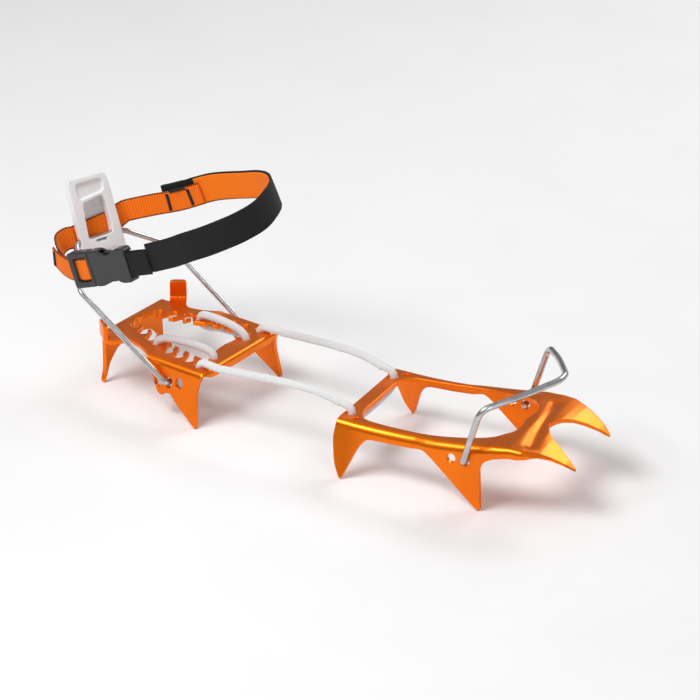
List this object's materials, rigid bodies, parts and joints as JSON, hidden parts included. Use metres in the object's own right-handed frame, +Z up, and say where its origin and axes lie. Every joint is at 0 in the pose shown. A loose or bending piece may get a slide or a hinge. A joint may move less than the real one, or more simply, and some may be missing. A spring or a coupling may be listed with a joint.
{
  "type": "strap-and-bail crampon",
  "caption": "Folding mountaineering crampon: two pointed metal plates joined by a cord, with a wire toe bail, a wire heel bail and lever, and a buckled ankle strap.",
  "frame": {"origin": "on the ground, below the middle of the whole crampon", "axes": "+X from the heel to the toe, +Y across, away from the buckle, +Z up"},
  "size_m": [0.3728, 0.113, 0.1482],
  "materials": {
    "orange_alloy": "satin orange anodised",
    "steel_wire": "bright drawn wire",
    "white_cord": "braided",
    "white_plastic": "satin moulded",
    "orange_webbing": "woven, ribbed",
    "black_elastic": "smooth knit",
    "black_webbing": "woven",
    "black_plastic": "satin moulded",
    "black_thread": "stitched"
  },
  "bodies": {
    "heel": {"heel_frame": "orange_alloy", "link_cord_heel": "white_cord"},
    "link": {"link_cord_near_run": "white_cord", "link_cord_far_run": "white_cord"},
    "front": {"front_frame": "orange_alloy", "link_cord_front": "white_cord"},
    "toe_bail": {"toe_bail": "steel_wire"},
    "heel_bail": {"heel_bail": "steel_wire"},
    "lever": {"heel_lever": "white_plastic", "strap_webbing": "orange_webbing", "strap_band_outer": "black_elastic", "strap_band_lining": "orange_webbing", "strap_band_end": "black_elastic", "socket_loop": "black_webbing", "buckle_socket": "black_plastic", "bartack_rear": "black_thread", "bartack_front": "black_thread", "bartack_top": "black_thread"},
    "plug": {"buckle_plug": "black_plastic", "strap_lead": "orange_webbing", "strap_tail": "orange_webbing", "bartack_tail": "black_thread"},
    "prong_upper": {"buckle_prong_upper": "black_plastic"},
    "prong_lower": {"buckle_prong_lower": "black_plastic"}
  },
  "joints": [
    {"name": "heel_fold", "type": "hinge", "parent": "heel", "child": "link", "pos_m": [-0.04465, -0.00794, 0.0387], "axis": [0, 1, 0], "range_deg": [-25, 20]},
    {"name": "front_fold", "type": "hinge", "parent": "link", "child": "front", "pos_m": [0.03335, -0.00265, 0.0381], "axis": [-0.1305, 0.9914, 0], "range_deg": [-60, 60]},
    {"name": "toe_bail_swing", "type": "hinge", "parent": "front", "child": "toe_bail", "pos_m": [0.12268, 0.00911, 0.03], "axis": [-0.1305, 0.9914, 0], "range_deg": [-80, 25]},
    {"name": "heel_bail_swing", "type": "hinge", "parent": "heel", "child": "heel_bail", "pos_m": [-0.07775, -0.00794, 0.0235], "axis": [0, 1, 0], "range_deg": [-20, 15]},
    {"name": "lever_turn", "type": "hinge", "parent": "heel_bail", "child": "lever", "pos_m": [-0.16365, -0.00705, 0.08152], "axis": [0.2924, 0.9563, 0], "range_deg": [-30, 0]},
    {"name": "buckle_release", "type": "slide", "parent": "lever", "child": "plug", "axis": [-0.9367, 0, -0.3502], "range_m": [0, 0.02]},
    {"name": "upper_prong_squeeze", "type": "hinge", "parent": "plug", "child": "prong_upper", "pos_m": [-0.12632, -0.05274, 0.09417], "axis": [0, 1, 0], "range_deg": [0, 9], "stiffness_Nm_per_rad": 0.6},
    {"name": "lower_prong_squeeze", "type": "hinge", "parent": "plug", "child": "prong_lower", "pos_m": [-0.12275, -0.05274, 0.08461], "axis": [0, 1, 0], "range_deg": [-9, 0], "stiffness_Nm_per_rad": 0.6}
  ],
  "couplings": [
    {"joint": "lower_prong_squeeze", "follows": "upper_prong_squeeze", "ratio": -1}
  ]
}
